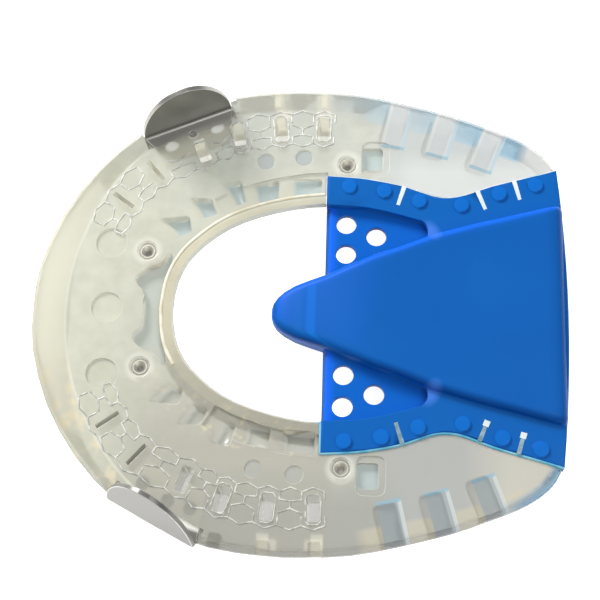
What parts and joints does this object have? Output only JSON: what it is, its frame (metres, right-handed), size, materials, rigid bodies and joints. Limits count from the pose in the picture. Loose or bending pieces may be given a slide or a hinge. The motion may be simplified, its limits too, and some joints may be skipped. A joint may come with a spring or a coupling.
{
  "type": "horseshoe",
  "caption": "Moulded clear urethane horseshoe with a blue frog support plate across the heels, bent steel side clips and tubular metal inserts.",
  "frame": {"origin": "middle of the bounding box in plan, on the ground face", "axes": "+X from the toe to the heels, +Y to the right branch seen from behind with the hoof side up, +Z from the ground to the hoof"},
  "size_m": [0.151, 0.1382, 0.0352],
  "materials": {
    "clear_urethane": "translucent moulded polyurethane, smooth and slightly milky",
    "blue_urethane": "opaque blue moulded polyurethane, satin",
    "clip_steel": "bent sheet steel, dull rolled surface with bright cut edges",
    "insert_steel": "turned steel, bright"
  },
  "bodies": {
    "root": {"shoe_body": "clear_urethane", "frog_plate": "blue_urethane", "clip_left": "clip_steel", "clip_right": "clip_steel", "insert_toe_left": "insert_steel", "insert_toe_right": "insert_steel", "insert_quarter_left": "insert_steel", "insert_quarter_right": "insert_steel"}
  },
  "joints": []
}
